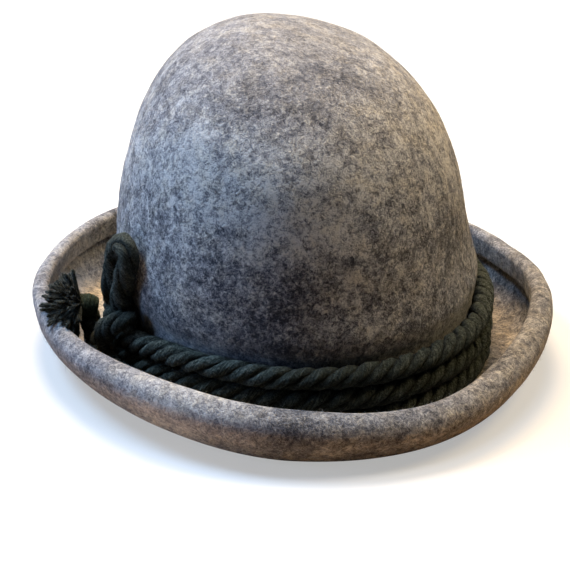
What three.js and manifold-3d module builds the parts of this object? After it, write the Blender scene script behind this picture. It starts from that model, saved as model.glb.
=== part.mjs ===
// Tyrolean hat of heather-grey felt: a tall round crown without a crease, a narrow
// brim curled up all round with its edge turned in as a hem, and a twisted wool cord
// wound three times round the crown, ending in an upright loop and a frayed tassel.
//
// Millimetres, +Z up. The hat rests on the flat ring under its brim at Z = 0. The head
// hollow opens downwards. The long axis of the head oval runs along Y, and the cord's
// trim is on the -X side. The origin lies on the resting plane, in the middle of the hat.

import * as THREE from 'three';
import { mergeVertices } from 'three/addons/utils/BufferGeometryUtils.js';
import Module from 'manifold-3d';

const wasm = await Module();
wasm.setup();

// Felt crown
const HEAD_HALF_WIDTH = 85;
const HEAD_HALF_LENGTH = 98;
const CROWN_HEIGHT = 164;
const CROWN_SWELL = 3.6;
const CROWN_LEAN = 22;
const FELT_THICKNESS = 2.8;

// Felt brim
const BRIM_REACH = 42;
const RIM_HEIGHT = 33;
const BRIM_LIFT = 7.2;
const BREAK_RADIUS = 3;
const CURL_RADIUS = 15;
const WALL_SLOPE = 75;
const HEM_WIDTH = 12.5;
const HEM_SLOT_WIDTH = 0.5;
const HEM_SLOT_DEPTH = 5;

// Wool cord
const CORD_DIAMETER = 10.6;
const CORD_TURNS = 3;
const STRAND_PITCH = 30;
const STRAND_VALLEY = 0.74;
const CLIMB_START_ANGLE = 190;
const CLIMB_ANGLE = 55;
const LOOP_WIDTH = 13;
const LOOP_HEIGHT = 42;
const SEAT_GAP = 0.35;

// Cord trim on the left side
const TRIM_ANGLE = 205;
const KNOT_DIAMETER = 10.8;
const TASSEL_LENGTH = 20;
const TASSEL_FAN_ANGLE = 80;
const TASSEL_RISE = 0.75;
const TASSEL_DROOP = 0.22;
const TASSEL_LOCKS = 14;
const LOCK_DIAMETER = 5.6;
const TASSEL_HEAD_DIAMETER = 7.4;

// Mesh density
const FELT_COLUMNS = 40;
const CROWN_ROWS = 9;
const ROPE_STEPS_PER_PITCH = 5.2;

// The crown's level sections above the cord. Climb is the angle up the dome, from its
// start over the cord to its top. Width is a share of the section at the start, and lean
// a share of CROWN_LEAN, towards -X.
const CROWN_TABLE = [
  { climb: 0, width: 1, lean: 0 },
  { climb: 15, width: 0.958, lean: 0.18 },
  { climb: 30, width: 0.883, lean: 0.23 },
  { climb: 45, width: 0.761, lean: 0.35 },
  { climb: 60, width: 0.555, lean: 0.54 },
  { climb: 75, width: 0.269, lean: 0.76 },
  { climb: 90, width: 0, lean: 1 },
];

// The brim's shape every 30 degrees, counted from +X towards +Y. Reach is a share of
// BRIM_REACH, rim a share of RIM_HEIGHT, and lift a share of BRIM_LIFT.
const BRIM_TABLE = [
  { angle: 0, reach: 0.86, rim: 1.0, lift: 0 },
  { angle: 30, reach: 0.84, rim: 0.88, lift: 0 },
  { angle: 60, reach: 0.86, rim: 0.83, lift: 0 },
  { angle: 90, reach: 0.9, rim: 0.87, lift: 0 },
  { angle: 120, reach: 0.93, rim: 0.89, lift: 0 },
  { angle: 150, reach: 0.99, rim: 0.91, lift: 0 },
  { angle: 180, reach: 1.0, rim: 0.885, lift: 0.35 },
  { angle: 210, reach: 0.91, rim: 0.86, lift: 1.0 },
  { angle: 240, reach: 0.85, rim: 0.96, lift: 0.5 },
  { angle: 270, reach: 0.89, rim: 0.87, lift: 0 },
  { angle: 300, reach: 0.92, rim: 0.83, lift: 0 },
  { angle: 330, reach: 0.86, rim: 0.95, lift: 0 },
];

// The upright loop, as shares of LOOP_WIDTH along the crown and of LOOP_HEIGHT above
// the upper turn. It leans a little towards the front.
const LOOP_TABLE = [
  { along: -1.35, up: 0.02 },
  { along: -0.86, up: 0.1 },
  { along: -0.46, up: 0.25 },
  { along: -0.16, up: 0.45 },
  { along: 0.13, up: 0.68 },
  { along: 0.35, up: 0.84 },
  { along: 0.66, up: 0.965 },
  { along: 1.01, up: 1.0 },
  { along: 1.33, up: 0.95 },
  { along: 1.36, up: 0.81 },
  { along: 1.12, up: 0.62 },
  { along: 0.82, up: 0.4 },
  { along: 0.6, up: 0.2 },
  { along: 0.44, up: -0.02 },
];

// The cord's free end, from the end knot down to the brim's floor, and the hitch over the
// stacked turns, both in cord diameters: along the crown, out from it, and up from Z = 0.
const TAIL_TABLE = [
  { along: -0.6, out: 1.82, up: 2.65 },
  { along: -0.62, out: 1.76, up: 2.25 },
  { along: -0.54, out: 1.7, up: 1.85 },
  { along: -0.34, out: 1.64, up: 1.5 },
  { along: 0, out: 1.6, up: 1.28 },
];
const HITCH_TABLE = [
  { along: 2.05, out: 0.66, up: 3.3 },
  { along: 1.78, out: 1.12, up: 3.27 },
  { along: 1.38, out: 1.5, up: 2.87 },
  { along: 1.08, out: 1.64, up: 2.36 },
  { along: 0.9, out: 1.72, up: 1.92 },
];
const TASSEL_AIM = { along: -0.2, out: 0.96, up: 0.17 };

const cordRadius = CORD_DIAMETER / 2;
const cordPitch = CORD_DIAMETER + SEAT_GAP;
const cordOut = cordRadius + SEAT_GAP;
const rowHeight = (row) => FELT_THICKNESS + SEAT_GAP + cordRadius + row * cordPitch;
const stackTop = rowHeight(CORD_TURNS - 1);
const tailRoom = cordOut + cordRadius + SEAT_GAP;
const domeStart = stackTop;
const swellHeight = 1.5 * CORD_DIAMETER;
const foldRadius = FELT_THICKNESS + HEM_SLOT_WIDTH / 2;
const radians = THREE.MathUtils.degToRad;
const smooth = THREE.MathUtils.smoothstep;

// A smooth curve through four neighbouring values of a table, between the middle two.
function between(before, from, to, after, t) {
  const slopeFrom = (to - before) / 2;
  const slopeTo = (after - from) / 2;
  const rise = to - from;
  return from + slopeFrom * t + (3 * rise - 2 * slopeFrom - slopeTo) * t * t
    + (slopeFrom + slopeTo - 2 * rise) * t * t * t;
}

// Reads one column of the brim table at any angle, all the way round.
function brimValue(column, angle) {
  const rows = BRIM_TABLE.length;
  const place = THREE.MathUtils.euclideanModulo(angle, 360) / 360 * rows;
  const index = Math.floor(place);
  const value = (offset) => BRIM_TABLE[(index + offset + rows) % rows][column];
  return between(value(-1), value(0), value(1), value(2), place - index);
}

// Reads one column of the crown table at a climb in degrees. The wall starts upright, and
// the width runs on past the top as on the far side, so that the top is round.
function crownValue(column, climb) {
  const last = CROWN_TABLE.length - 1;
  const place = Math.min(climb / 90, 1) * last;
  const index = Math.min(Math.floor(place), last - 1);
  const pastTop = column === 'width' ? -1 : 1;
  const value = (row) => {
    if (row > last) return pastTop * CROWN_TABLE[last - 1][column];
    return CROWN_TABLE[Math.abs(row)][column];
  };
  return between(value(index - 1), value(index), value(index + 1), value(index + 2), place - index);
}

// The crown's level section at a height: its half axes and how far it leans to -X. It is
// straight beside the cord, swells just above it, and then closes as a dome. The inner
// face is the same form, one felt thickness smaller.
function crownSection(height, inset) {
  const share = (height - domeStart) / (CROWN_HEIGHT - inset - domeStart);
  const climb = THREE.MathUtils.radToDeg(Math.asin(THREE.MathUtils.clamp(share, 0, 1)));
  const width = crownValue('width', climb);
  const swell = CROWN_SWELL * smooth(height, domeStart, domeStart + swellHeight);
  return {
    halfWidth: (HEAD_HALF_WIDTH + swell - inset) * width,
    halfLength: (HEAD_HALF_LENGTH + swell - inset) * width,
    lean: -CROWN_LEAN * crownValue('lean', climb),
  };
}

function crownPoint(angle, height, inset) {
  const section = crownSection(height, inset);
  const a = radians(angle);
  return new THREE.Vector3(
    section.lean + section.halfWidth * Math.cos(a),
    section.halfLength * Math.sin(a),
    height,
  );
}

// The level direction straight out from the head oval.
function outward(angle) {
  const a = radians(angle);
  const normal = new THREE.Vector3(Math.cos(a) / HEAD_HALF_WIDTH, Math.sin(a) / HEAD_HALF_LENGTH, 0);
  return normal.normalize();
}

// A point beside the crown: out is measured level from the crown's outer face.
function besideCrown(angle, height, out) {
  return crownPoint(angle, height, 0).addScaledVector(outward(angle), out);
}

// A point near the trim: along runs round the crown from TRIM_ANGLE towards the front.
function besideTrim(along, out, height) {
  const a = radians(TRIM_ANGLE);
  const perRadian = Math.hypot(HEAD_HALF_WIDTH * Math.sin(a), HEAD_HALF_LENGTH * Math.cos(a)) + out;
  return besideCrown(TRIM_ANGLE + THREE.MathUtils.radToDeg(along / perRadian), height, out);
}

// Where the brim's fold and curl have their centres at one angle, how high its curl is
// lifted, and how long the straight wall between them is. Positions are (out, up).
function brimFrame(angle) {
  const slope = radians(WALL_SLOPE);
  const reach = BRIM_REACH * brimValue('reach', angle);
  const rim = RIM_HEIGHT * brimValue('rim', angle);
  const fold = new THREE.Vector2(reach, rim);
  const lift = BRIM_LIFT * Math.max(brimValue('lift', angle), 0);
  const rise = fold.y - CURL_RADIUS - lift;
  const run = (CURL_RADIUS - foldRadius + Math.cos(slope) * rise) / Math.sin(slope);
  const curl = new THREE.Vector2(fold.x - run, CURL_RADIUS + lift);
  const wall = Math.sin(slope) * rise + Math.cos(slope) * run;
  return { fold, curl, lift, wall };
}

// How far the brim's flat is lifted at a distance out from the crown.
function floorLift(frame, out) {
  return frame.lift * smooth(out, tailRoom, Math.max(frame.curl.x, tailRoom + cordRadius));
}

// The brim's section at one angle, as points (out from the crown, up), from the break
// beside the crown, over the hem, and back under the brim to the inside of the crown.
function brimSection(angle) {
  const slope = radians(WALL_SLOPE);
  const up = new THREE.Vector2(Math.cos(slope), Math.sin(slope));
  const out = new THREE.Vector2(Math.sin(slope), -Math.cos(slope));
  const frame = brimFrame(angle);
  const { fold, curl } = frame;
  const hemBelow = Math.min(HEM_WIDTH - foldRadius, frame.wall * 0.97);
  const slotTop = hemBelow - Math.min(HEM_SLOT_DEPTH, hemBelow / 2);
  const points = [];
  const add = (x, y) => points.push(new THREE.Vector2(x, y));
  const addFromFold = (down, aside) => {
    points.push(fold.clone().addScaledVector(up, -down).addScaledVector(out, aside));
  };
  const addArc = (centre, radius, from, to, steps) => {
    for (let i = 0; i <= steps; i += 1) {
      const a = radians(from + (to - from) * i / steps);
      add(centre.x + radius * Math.cos(a), centre.y + radius * Math.sin(a));
    }
  };

  const breakCentre = new THREE.Vector2(BREAK_RADIUS, FELT_THICKNESS + BREAK_RADIUS);
  const floorPlaces = [tailRoom, (tailRoom + curl.x) / 2];
  addArc(breakCentre, BREAK_RADIUS, 180, 270, 2);
  floorPlaces.forEach((place) => add(place, FELT_THICKNESS + floorLift(frame, place)));
  addArc(curl, CURL_RADIUS - FELT_THICKNESS, -90, WALL_SLOPE - 90, 3);

  addFromFold(hemBelow, HEM_SLOT_WIDTH / 2);
  addFromFold(slotTop, HEM_SLOT_WIDTH / 2);
  addFromFold(slotTop, -HEM_SLOT_WIDTH / 2);
  addFromFold(hemBelow, -HEM_SLOT_WIDTH / 2);
  addFromFold(hemBelow, -foldRadius * 0.8);
  addFromFold(hemBelow - foldRadius * 0.2, -foldRadius);
  addFromFold(hemBelow / 2, -foldRadius);
  addArc(fold, foldRadius, WALL_SLOPE + 90, WALL_SLOPE - 90, 5);

  addFromFold(hemBelow, foldRadius);
  addArc(curl, CURL_RADIUS, WALL_SLOPE - 90, -90, 4);
  floorPlaces.reverse().forEach((place) => add(place, floorLift(frame, place)));
  addArc(breakCentre, BREAK_RADIUS + FELT_THICKNESS, 270, 180, 3);
  return points;
}

// The height at which the cord's centre rests on the brim, at an angle and a distance out.
function restHeight(angle, out) {
  const frame = brimFrame(angle);
  let height = 0;
  for (let lean = -60; lean <= 60; lean += 10) {
    const aside = cordRadius * Math.sin(radians(lean));
    const above = cordRadius * Math.cos(radians(lean));
    height = Math.max(height, FELT_THICKNESS + floorLift(frame, out + aside) + above);
  }
  return height + SEAT_GAP;
}

// Heights of the crown's rings: a few up the swell, then at even steps round the dome.
function crownHeights(top) {
  const heights = [0, 1 / 3, 2 / 3].map((share) => domeStart + swellHeight * share);
  const firstClimb = Math.asin(swellHeight / (top - domeStart));
  for (let i = 0; i < CROWN_ROWS; i += 1) {
    const climb = firstClimb + (Math.PI / 2 - firstClimb) * i / CROWN_ROWS;
    heights.push(domeStart + (top - domeStart) * Math.sin(climb));
  }
  return heights;
}

// One closed loop of felt: from the crown's top down its outer face, round the brim, and
// up the inner face to the underside of the top.
function feltColumn(angle) {
  const wall = (top, inset) => crownHeights(top).map((height) => crownPoint(angle, height, inset));
  const outside = wall(CROWN_HEIGHT, 0).reverse();
  const inside = wall(CROWN_HEIGHT - FELT_THICKNESS, FELT_THICKNESS);
  const brim = brimSection(angle).map((point) => {
    const wallTop = FELT_THICKNESS + BREAK_RADIUS;
    const foot = crownPoint(angle, Math.min(point.y, wallTop), 0);
    return foot.addScaledVector(outward(angle), point.x).setZ(point.y);
  });
  return [...outside, ...brim, ...inside];
}

// Joins columns of equal length all round, with a single point at each end.
function loftBetweenPoles(columns, firstPole, lastPole) {
  const rows = columns[0].length;
  const positions = columns.flat().flatMap((point) => point.toArray());
  positions.push(...firstPole.toArray(), ...lastPole.toArray());
  const first = columns.length * rows;
  const indices = [];
  columns.forEach((column, i) => {
    const here = i * rows;
    const next = (i + 1) % columns.length * rows;
    indices.push(first, here, next);
    for (let j = 0; j < rows - 1; j += 1) {
      indices.push(here + j, here + j + 1, next + j + 1);
      indices.push(here + j, next + j + 1, next + j);
    }
    indices.push(first + 1, next + rows - 1, here + rows - 1);
  });
  return indexedGeometry(positions, indices);
}

function indexedGeometry(positions, indices) {
  const geometry = new THREE.BufferGeometry();
  geometry.setAttribute('position', new THREE.Float32BufferAttribute(positions, 3));
  geometry.setIndex(indices);
  return geometry;
}

function feltBody() {
  const columns = [];
  for (let i = 0; i < FELT_COLUMNS; i += 1) {
    columns.push(feltColumn(360 * i / FELT_COLUMNS));
  }
  const top = crownPoint(0, CROWN_HEIGHT, 0);
  const underTop = crownPoint(0, CROWN_HEIGHT - FELT_THICKNESS, FELT_THICKNESS);
  return loftBetweenPoles(columns, top, underTop);
}

// The outline of three strands lying together: two points on each strand's crest and
// one in each valley.
function ropeSection(radius) {
  const section = [];
  for (let strand = 0; strand < 3; strand += 1) {
    section.push({ angle: radians(strand * 120 - 24), radius });
    section.push({ angle: radians(strand * 120 + 24), radius });
    section.push({ angle: radians(strand * 120 + 60), radius: radius * STRAND_VALLEY });
  }
  return section;
}

// Sweeps a section along a route. The section turns left-handed by one turn per pitch,
// so the strands on the front of the hat rise to the right. taper gives the section's
// size at each share of the length.
function sweepTwisted(route, section, pitch, steps, taper = () => 1) {
  const curve = new THREE.CatmullRomCurve3(route, false, 'centripetal');
  curve.arcLengthDivisions = route.length * 12;
  const centres = curve.getSpacedPoints(steps);
  const stepLength = curve.getLength() / steps;
  const tangents = centres.map((point, i) => {
    const before = centres[Math.max(i - 1, 0)];
    const after = centres[Math.min(i + 1, steps)];
    return after.clone().sub(before).normalize();
  });
  const side = new THREE.Vector3(0, 0, 1).cross(tangents[0]).normalize();
  const positions = [];
  centres.forEach((centre, i) => {
    side.addScaledVector(tangents[i], -side.dot(tangents[i])).normalize();
    const over = tangents[i].clone().cross(side);
    const twist = -2 * Math.PI * i * stepLength / pitch;
    section.forEach((corner) => {
      const angle = corner.angle + twist;
      const radius = corner.radius * taper(i / steps);
      const point = centre.clone()
        .addScaledVector(side, radius * Math.cos(angle))
        .addScaledVector(over, radius * Math.sin(angle));
      positions.push(...point.toArray());
    });
  });
  positions.push(...centres[0].toArray(), ...centres[steps].toArray());

  const count = section.length;
  const startCap = (steps + 1) * count;
  const indices = [];
  for (let j = 0; j < count; j += 1) {
    const k = (j + 1) % count;
    for (let i = 0; i < steps; i += 1) {
      const here = i * count;
      const next = here + count;
      indices.push(here + j, here + k, next + k);
      indices.push(here + j, next + k, next + j);
    }
    indices.push(startCap, k, j);
    indices.push(startCap + 1, steps * count + j, steps * count + k);
  }
  return indexedGeometry(positions, indices);
}

function rope(route) {
  const length = new THREE.CatmullRomCurve3(route, false, 'centripetal').getLength();
  const steps = Math.max(Math.round(length / STRAND_PITCH * ROPE_STEPS_PER_PITCH), 4);
  return sweepTwisted(route, ropeSection(cordRadius), STRAND_PITCH, steps);
}

function fromCordTable(row) {
  return besideTrim(row.along * CORD_DIAMETER, row.out * CORD_DIAMETER, row.up * CORD_DIAMETER);
}

// How far the turns have climbed to the next row at an angle, from 0 to 1.
function climbShare(angle) {
  return smooth(angle, CLIMB_START_ANGLE, CLIMB_START_ANGLE + CLIMB_ANGLE);
}

// The free end beside the climbing first turn: on the brim, as close as the cord allows.
function tailPoint(angle) {
  const above = rowHeight(climbShare(angle));
  const outStep = 0.2;
  let out = cordOut;
  while (Math.hypot(out - cordOut, above - restHeight(angle, out)) < cordPitch) {
    out += outStep;
  }
  return besideCrown(angle, restHeight(angle, out), out);
}

// The whole cord: its free end on the brim's floor, then the turns, each climbing to the
// next beside the trim, then the upright loop, whose last leg is tucked behind the hitch.
function cordRoute() {
  const route = TAIL_TABLE.map(fromCordTable);
  const angleStep = 5;
  const firstAngle = TRIM_ANGLE + angleStep;
  const climbEnd = CLIMB_START_ANGLE + CLIMB_ANGLE;
  for (let angle = firstAngle; angle < climbEnd; angle += angleStep) {
    route.push(tailPoint(angle));
  }
  const lastAngle = CLIMB_START_ANGLE + 360 * CORD_TURNS;
  for (let angle = climbEnd; angle <= lastAngle; angle += angleStep) {
    const turn = Math.floor((angle - CLIMB_START_ANGLE) / 360);
    const row = turn === 0 ? 0 : turn - 1 + climbShare(angle - turn * 360);
    route.push(besideCrown(angle, rowHeight(row), cordOut));
  }
  LOOP_TABLE.forEach((place) => {
    route.push(besideTrim(place.along * LOOP_WIDTH, cordOut, stackTop + place.up * LOOP_HEIGHT));
  });
  return route;
}

// The tassel's axis: mostly outwards from the crown, a little back and upwards.
function tasselAim() {
  const out = outward(TRIM_ANGLE);
  const along = new THREE.Vector3(-out.y, out.x, 0);
  const aim = out.multiplyScalar(TASSEL_AIM.out).addScaledVector(along, TASSEL_AIM.along);
  return aim.setZ(TASSEL_AIM.up).normalize();
}

// The wound knot on the cord's end, flat where it sits on the cord, with ridges round it.
function knotGeometry() {
  const radius = KNOT_DIAMETER / 2;
  const ridges = 4;
  const grooveShare = 0.93;
  const lowest = -52;
  const highest = 64;
  const profile = [new THREE.Vector2(0, 0)];
  for (let i = 0; i <= ridges * 2; i += 1) {
    const a = radians(lowest + (highest - lowest) * i / (ridges * 2));
    const ridged = radius * (i % 2 === 0 ? grooveShare : 1);
    const up = Math.max(radius + ridged * Math.sin(a), 0);
    profile.push(new THREE.Vector2(ridged * Math.cos(a), up));
  }
  profile.push(new THREE.Vector2(0, radius * (1 + grooveShare)));
  return closedGeometry(new THREE.LatheGeometry(profile, 12));
}

// Keeps positions alone and merges shared corners, so that the mesh is closed.
function closedGeometry(source) {
  source.deleteAttribute('normal');
  source.deleteAttribute('uv');
  const merged = mergeVertices(source, 1e-4);
  const index = Array.from(merged.index.array);
  const kept = [];
  for (let i = 0; i < index.length; i += 3) {
    const [a, b, c] = index.slice(i, i + 3);
    if (a !== b && b !== c && c !== a) kept.push(a, b, c);
  }
  merged.setIndex(kept);
  return merged;
}

function toManifold(geometry) {
  const vertProperties = new Float32Array(geometry.attributes.position.array);
  const triVerts = new Uint32Array(geometry.index.array);
  return new wasm.Manifold(new wasm.Mesh({ numProp: 3, vertProperties, triVerts }));
}

function fromManifold(solid) {
  const mesh = solid.getMesh();
  return indexedGeometry(Array.from(mesh.vertProperties), Array.from(mesh.triVerts));
}

// One lock of frayed wool, fanned out from the head along +Y. The locks spread less up
// and down than sideways, because the tassel lies over the brim's edge.
function lockGeometry(index) {
  const goldenTurn = 2.399963;
  const turn = index * goldenTurn;
  const fan = radians(TASSEL_FAN_ANGLE) * Math.sqrt((index + 0.5) / TASSEL_LOCKS);
  const route = [0, 0.5, 1].map((share) => {
    const away = fan * (0.7 + 0.3 * share);
    const rise = Math.sin(away) * Math.sin(turn);
    const aim = new THREE.Vector3(
      Math.sin(away) * Math.cos(turn),
      Math.cos(away),
      rise * (rise < 0 ? TASSEL_DROOP : TASSEL_RISE),
    );
    return aim.multiplyScalar(TASSEL_LENGTH * share);
  });
  const sides = 5;
  const section = [];
  for (let side = 0; side < sides; side += 1) {
    section.push({ angle: 2 * Math.PI * side / sides, radius: LOCK_DIAMETER / 2 });
  }
  return sweepTwisted(route, section, STRAND_PITCH, 2, (share) => 1 - 0.5 * share ** 2);
}

// The frayed end: a round head with the locks joined to it.
function tasselGeometry() {
  const headRadius = TASSEL_HEAD_DIAMETER / 2;
  const headLength = TASSEL_LENGTH * 0.4;
  const profile = [
    new THREE.Vector2(0, 0),
    new THREE.Vector2(headRadius, 0),
    new THREE.Vector2(headRadius * 1.15, headLength * 0.5),
    new THREE.Vector2(headRadius * 0.8, headLength),
    new THREE.Vector2(0, headLength * 1.15),
  ];
  let solid = toManifold(closedGeometry(new THREE.LatheGeometry(profile, 10)));
  const rootShift = new THREE.Matrix4().makeTranslation(0, LOCK_DIAMETER / 2, 0);
  for (let i = 0; i < TASSEL_LOCKS; i += 1) {
    const lock = lockGeometry(i).applyMatrix4(rootShift);
    solid = solid.add(toManifold(lock));
  }
  return fromManifold(solid);
}

function feltMaterial() {
  return new THREE.MeshStandardMaterial({ color: 0x86868a, roughness: 0.95, metalness: 0 });
}

function woolMaterial(color) {
  return new THREE.MeshStandardMaterial({ color, roughness: 1, metalness: 0 });
}

function addPiece(group, name, geometry, material) {
  const piece = new THREE.Mesh(geometry, material);
  piece.name = name;
  group.add(piece);
  return piece;
}

// Stands a piece made along +Y at a place, pointing along an aim, with its +Z side up.
function aimPiece(piece, place, aim) {
  const level = aim.clone().cross(new THREE.Vector3(0, 0, 1)).normalize();
  const basis = new THREE.Matrix4().makeBasis(level, aim, level.clone().cross(aim));
  piece.position.copy(place);
  piece.quaternion.setFromRotationMatrix(basis);
}

const hat = new THREE.Group();
const parts = new THREE.Group();
hat.add(parts);

const cordGreen = woolMaterial(0x1f2e2b);
addPiece(parts, 'felt_body', feltBody(), feltMaterial());
addPiece(parts, 'wool_cord', rope(cordRoute()), cordGreen);
addPiece(parts, 'cord_hitch', rope(HITCH_TABLE.map(fromCordTable)), cordGreen);

const cordEnd = fromCordTable(TAIL_TABLE[0]);
const endAim = cordEnd.clone().sub(fromCordTable(TAIL_TABLE[1])).normalize();
const knot = addPiece(parts, 'end_knot', knotGeometry(), woolMaterial(0x3a4a38));
aimPiece(knot, cordEnd.clone().addScaledVector(endAim, SEAT_GAP), endAim);

const brushAim = tasselAim();
const tassel = addPiece(parts, 'cord_tassel', tasselGeometry(), cordGreen);
const knotMiddle = knot.position.clone().addScaledVector(endAim, KNOT_DIAMETER / 2);
aimPiece(tassel, knotMiddle.addScaledVector(brushAim, KNOT_DIAMETER / 2 + SEAT_GAP), brushAim);

// Puts the origin in the middle of the hat's outline, on the plane that it rests on.
hat.updateMatrixWorld(true);
const box = new THREE.Box3().setFromObject(hat, true);
parts.position.set(-(box.min.x + box.max.x) / 2, -(box.min.y + box.max.y) / 2, 0);
hat.updateMatrixWorld(true);

export default hat;
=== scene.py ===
import math

import bpy
import numpy as np
from mathutils import Matrix, Vector
from mathutils.bvhtree import BVHTree


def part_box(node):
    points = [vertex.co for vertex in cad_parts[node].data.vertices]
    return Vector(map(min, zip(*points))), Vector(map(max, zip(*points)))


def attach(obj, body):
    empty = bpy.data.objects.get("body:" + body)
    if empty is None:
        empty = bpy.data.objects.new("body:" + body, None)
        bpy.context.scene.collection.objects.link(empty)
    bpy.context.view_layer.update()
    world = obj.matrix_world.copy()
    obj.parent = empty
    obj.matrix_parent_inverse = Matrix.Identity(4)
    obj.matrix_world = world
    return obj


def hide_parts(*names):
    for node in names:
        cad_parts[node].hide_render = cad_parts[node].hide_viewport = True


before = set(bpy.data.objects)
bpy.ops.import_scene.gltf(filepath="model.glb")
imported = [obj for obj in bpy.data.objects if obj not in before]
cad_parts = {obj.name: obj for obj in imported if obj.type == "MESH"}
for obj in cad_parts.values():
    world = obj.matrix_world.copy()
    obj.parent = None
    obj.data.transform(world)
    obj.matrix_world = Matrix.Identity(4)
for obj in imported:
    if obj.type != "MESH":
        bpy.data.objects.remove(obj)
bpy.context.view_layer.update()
rng = np.random.default_rng(7)
MM = 0.001
UP = np.array([0.0, 0.0, 1.0])

# The felt's and the cord's named sizes, in mm, as in the part's source.
HEAD_HALF_WIDTH = 85
HEAD_HALF_LENGTH = 98
CROWN_HEIGHT = 164
CROWN_SWELL = 3.6
CROWN_LEAN = 22
FELT_THICKNESS = 2.8
BRIM_REACH = 42
RIM_HEIGHT = 33
BRIM_LIFT = 7.2
BREAK_RADIUS = 3
CURL_RADIUS = 15
WALL_SLOPE = 75
HEM_SLOT_WIDTH = 0.5
CORD_DIAMETER = 10.6
CORD_TURNS = 3
STRAND_PITCH = 30
CLIMB_START_ANGLE = 190
CLIMB_ANGLE = 55
LOOP_WIDTH = 13
LOOP_HEIGHT = 42
SEAT_GAP = 0.35
TRIM_ANGLE = 205
KNOT_DIAMETER = 10.8
TASSEL_LENGTH = 20

# Shares from the crown's foot to its top: its width, and how far it leans to the left.
CROWN_TABLE = {
    "width": [1, 0.958, 0.883, 0.761, 0.555, 0.269, 0],
    "lean": [0, 0.18, 0.23, 0.35, 0.54, 0.76, 1],
}
# Shares every 30 degrees from the right: the brim's reach, its rim's height and its floor's lift.
BRIM_TABLE = {
    "reach": [0.86, 0.84, 0.86, 0.9, 0.93, 0.99, 1.0, 0.91, 0.85, 0.89, 0.92, 0.86],
    "rim": [1.0, 0.88, 0.83, 0.87, 0.89, 0.91, 0.885, 0.86, 0.96, 0.87, 0.83, 0.95],
    "lift": [0, 0, 0, 0, 0, 0, 0.35, 1.0, 0.5, 0, 0, 0],
}
# The brim's roll after the photo, in mm, every 30 degrees: its outer radius, how much lower its top
# is than the source's, the turned-in lip's radius and how far the turned-in hem hangs down.
RIM_TABLE = {
    "roll": [7.0, 6.0, 5.2, 4.8, 4.8, 4.9, 4.8, 5.6, 8.4, 9.2, 8.8, 8.4],
    "drop": [0.5, 0, 0, 0, 0, 0, 0, 0.4, 3.6, 4.0, 6.0, 4.6],
    "lip": [3.9, 3.6, 3.5, 3.5, 3.4, 3.4, 3.3, 3.4, 4.0, 4.2, 4.2, 4.1],
    "hang": [12.5, 12.5, 12.5, 12.5, 12.5, 12.5, 11.5, 10.5, 11.5, 11.5, 10.5, 11.5],
}
# The loop's points: shares of its width along the crown, and of its height upward.
LOOP_TABLE = [
    (-1.35, 0.02), (-0.86, 0.1), (-0.46, 0.25), (-0.16, 0.45), (0.13, 0.68),
    (0.35, 0.84), (0.66, 0.965), (1.01, 1.0), (1.33, 0.95), (1.36, 0.81),
    (1.12, 0.62), (0.82, 0.4), (0.6, 0.2), (0.44, -0.02),
]
# The points of the free end and the hitch: along and out from the crown and up, in cord diameters.
TAIL_TABLE = [
    (-0.6, 1.82, 2.65), (-0.62, 1.76, 2.25), (-0.54, 1.7, 1.85), (-0.34, 1.64, 1.5),
    (0, 1.6, 1.28),
]
HITCH_TABLE = [
    (2.05, 0.66, 3.3), (1.78, 1.12, 3.27), (1.38, 1.5, 2.87), (1.08, 1.64, 2.36),
    (0.9, 1.72, 1.92),
]
TASSEL_AIM = {"along": -0.2, "out": 0.96, "up": 0.17}

# The hem's way, in degrees of the bend, and the loop's place in the photo beside the source's.
HEM_TURN = 184
LOOP_ASIDE = 2.6
LOOP_LOWERED = 1.5
LOOP_LENGTH = 112

# The rope's lay, in mm: how far each strand's middle is from the cord's, the strand's half sizes,
# its step and sides, the pitch of its fibres, and the share by which it swells where it shows.
STRAND_OFFSET = 2.74
STRAND_HALF_HEIGHT = 2.5
STRAND_HALF_WIDTH = 2.75
STRAND_STEP = 1.2
STRAND_SIDES = 18
FIBRE_PITCH = 26
HITCH_PITCH = 21
LOBE_SWELL = 0.11

# The tassel's yarns, and the loose fibres' numbers.
TASSEL_YARNS = 126
YARN_SIDES = 8
YARN_STEPS = 14
FIBRES_PER_YARN = 14
FELT_FIBRES = 11500
CORD_FIBRES = 3900
LOOP_FIBRES = 2400
HITCH_FIBRES = 700
GOLDEN_ANGLE = 2.399963
HAIR_POINTS = 4

cord_radius = CORD_DIAMETER / 2
cord_pitch = CORD_DIAMETER + SEAT_GAP
cord_out = cord_radius + SEAT_GAP
tail_room = cord_out + cord_radius + SEAT_GAP
fold_radius = FELT_THICKNESS + HEM_SLOT_WIDTH / 2


def row_height(row):
    return FELT_THICKNESS + SEAT_GAP + cord_radius + row * cord_pitch


dome_start = row_height(CORD_TURNS - 1)
swell_height = 1.5 * CORD_DIAMETER


# The form of the hat
def smooth(x, low, high):
    t = min(max((x - low) / (high - low), 0.0), 1.0)
    return t * t * (3 - 2 * t)


def between(before, start, end, after, t):
    slope_start = (end - before) / 2
    slope_end = (after - start) / 2
    rise = end - start
    return (
        start
        + slope_start * t
        + (3 * rise - 2 * slope_start - slope_end) * t * t
        + (slope_start + slope_end - 2 * rise) * t * t * t
    )


def round_value(values, angle):
    """A smooth value between those of a row that goes once round the hat."""
    place = (angle % 360) / 360 * len(values)
    index = int(place)
    v = [values[(index + k) % len(values)] for k in (-1, 0, 1, 2)]
    return between(*v, place - index)


def brim_value(column, angle):
    return round_value(BRIM_TABLE[column], angle)


def rim_value(column, angle):
    return round_value(RIM_TABLE[column], angle)


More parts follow.
